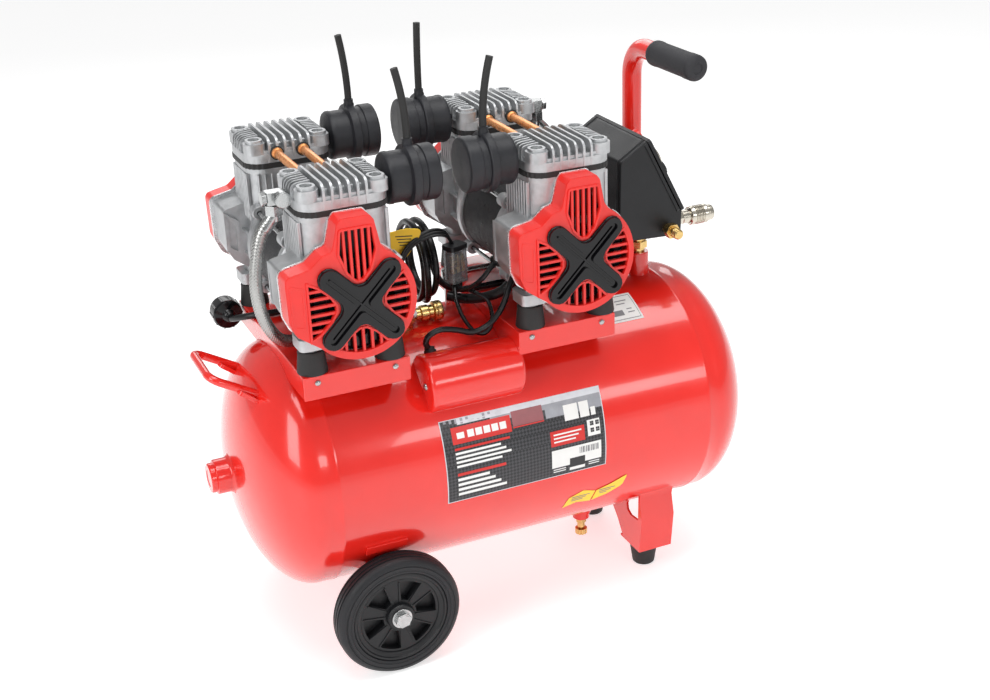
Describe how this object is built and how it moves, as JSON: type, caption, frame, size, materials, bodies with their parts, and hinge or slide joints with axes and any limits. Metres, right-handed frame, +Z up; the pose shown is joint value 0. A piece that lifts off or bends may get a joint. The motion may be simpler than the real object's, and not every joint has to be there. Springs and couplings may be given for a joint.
{
  "type": "air compressor",
  "caption": "Portable oil-free air compressor: twin-head pump units on a horizontal red receiver with wheels, foot bracket, side console, tall handle and carrying bail.",
  "frame": {"origin": "on the floor under the middle of the overall length and width", "axes": "+X along the receiver towards the tall handle and the coupler, -Y towards the front label, +Z up"},
  "size_m": [0.681, 0.338, 0.7052],
  "materials": {
    "red_paint": "gloss enamel",
    "zinc_steel": "zinc plated",
    "hub_plastic": "satin moulded",
    "tyre_rubber": "matt",
    "black_rubber": "matt",
    "foam_grip": "foam",
    "gauge_steel": "polished",
    "knob_plastic": "semi gloss",
    "red_plastic": "gloss",
    "brass": "machined",
    "nickel": "nickel plated",
    "stator_steel": "black lacquer",
    "cast_aluminium": "die cast",
    "copper": "drawn tube"
  },
  "bodies": {
    "frame": {"tank": "red_paint", "saddle_left": "red_paint", "saddle_right": "red_paint", "wheel_brackets": "red_paint", "foot_bracket": "red_paint", "carry_handle": "red_paint", "handle_tube": "red_paint", "capacitor_cover": "red_paint", "cover_front_left": "red_paint", "cover_rear_left": "red_paint", "cover_front_right": "red_paint", "cover_rear_right": "red_paint", "wheel_bolts": "zinc_steel", "delivery_hoses": "zinc_steel", "hose_fittings": "zinc_steel", "console_housing": "hub_plastic", "console_panel": "hub_plastic", "filters": "hub_plastic", "badges": "hub_plastic", "rubber_feet": "black_rubber", "buffers": "black_rubber", "power_cord": "black_rubber", "cord_coil": "black_rubber", "cord_tail": "black_rubber", "wiring": "black_rubber", "cord_gland": "black_rubber", "snorkel_fl": "black_rubber", "snorkel_rl": "black_rubber", "snorkel_fr": "black_rubber", "snorkel_rr": "black_rubber", "gaskets": "black_rubber", "handle_grip": "foam_grip", "gauges": "gauge_steel", "plug": "knob_plastic", "outlet_pipe": "brass", "coupler_body": "brass", "outlet_valve": "brass", "check_valve": "brass", "drain_body": "brass", "stator_left": "stator_steel", "stator_right": "stator_steel", "pump_front_left": "cast_aluminium", "pump_rear_left": "cast_aluminium", "pump_front_right": "cast_aluminium", "pump_rear_right": "cast_aluminium", "head_front_left": "cast_aluminium", "head_rear_left": "cast_aluminium", "head_front_right": "cast_aluminium", "head_rear_right": "cast_aluminium", "copper_tubes": "copper"},
    "wheel_front": {"wheel_front_hub": "hub_plastic", "wheel_front_tyre": "tyre_rubber"},
    "wheel_rear": {"wheel_rear_hub": "hub_plastic", "wheel_rear_tyre": "tyre_rubber"},
    "regulator": {"regulator_knob": "knob_plastic"},
    "power": {"power_knob": "red_plastic"},
    "sleeve": {"coupler_sleeve": "nickel"},
    "drain": {"drain_knob": "brass"},
    "rotor_l": {"rotor_left": "zinc_steel"},
    "rotor_r": {"rotor_right": "zinc_steel"}
  },
  "joints": [
    {"name": "wheel_front_spin", "type": "hinge", "parent": "frame", "child": "wheel_front", "pos_m": [-0.1695, -0.141, 0.076], "axis": [0, 1, 0], "continuous": true},
    {"name": "wheel_rear_spin", "type": "hinge", "parent": "frame", "child": "wheel_rear", "pos_m": [-0.1695, 0.141, 0.076], "axis": [0, 1, 0], "continuous": true},
    {"name": "rotor_left_spin", "type": "hinge", "parent": "frame", "child": "rotor_l", "pos_m": [-0.1905, 0, 0.477], "axis": [0, 1, 0], "continuous": true},
    {"name": "rotor_right_spin", "type": "hinge", "parent": "frame", "child": "rotor_r", "pos_m": [0.0725, 0, 0.477], "axis": [0, 1, 0], "continuous": true},
    {"name": "regulator_turn", "type": "hinge", "parent": "frame", "child": "regulator", "pos_m": [0.25887, 0.017, 0.4979], "axis": [0.8906, 0, 0.4548], "range_deg": [0, 300]},
    {"name": "power_pull", "type": "slide", "parent": "frame", "child": "power", "axis": [0.8906, 0, 0.4548], "range_m": [0, 0.006]},
    {"name": "coupler_sleeve_slide", "type": "slide", "parent": "frame", "child": "sleeve", "axis": [1, 0, 0], "range_m": [-0.007, 0], "stiffness_N_per_m": 900, "springref_m": 0.003},
    {"name": "drain_turn", "type": "hinge", "parent": "frame", "child": "drain", "pos_m": [0.1315, -0.03, 0.05], "axis": [0, 0, 1], "range_deg": [0, 270]}
  ]
}
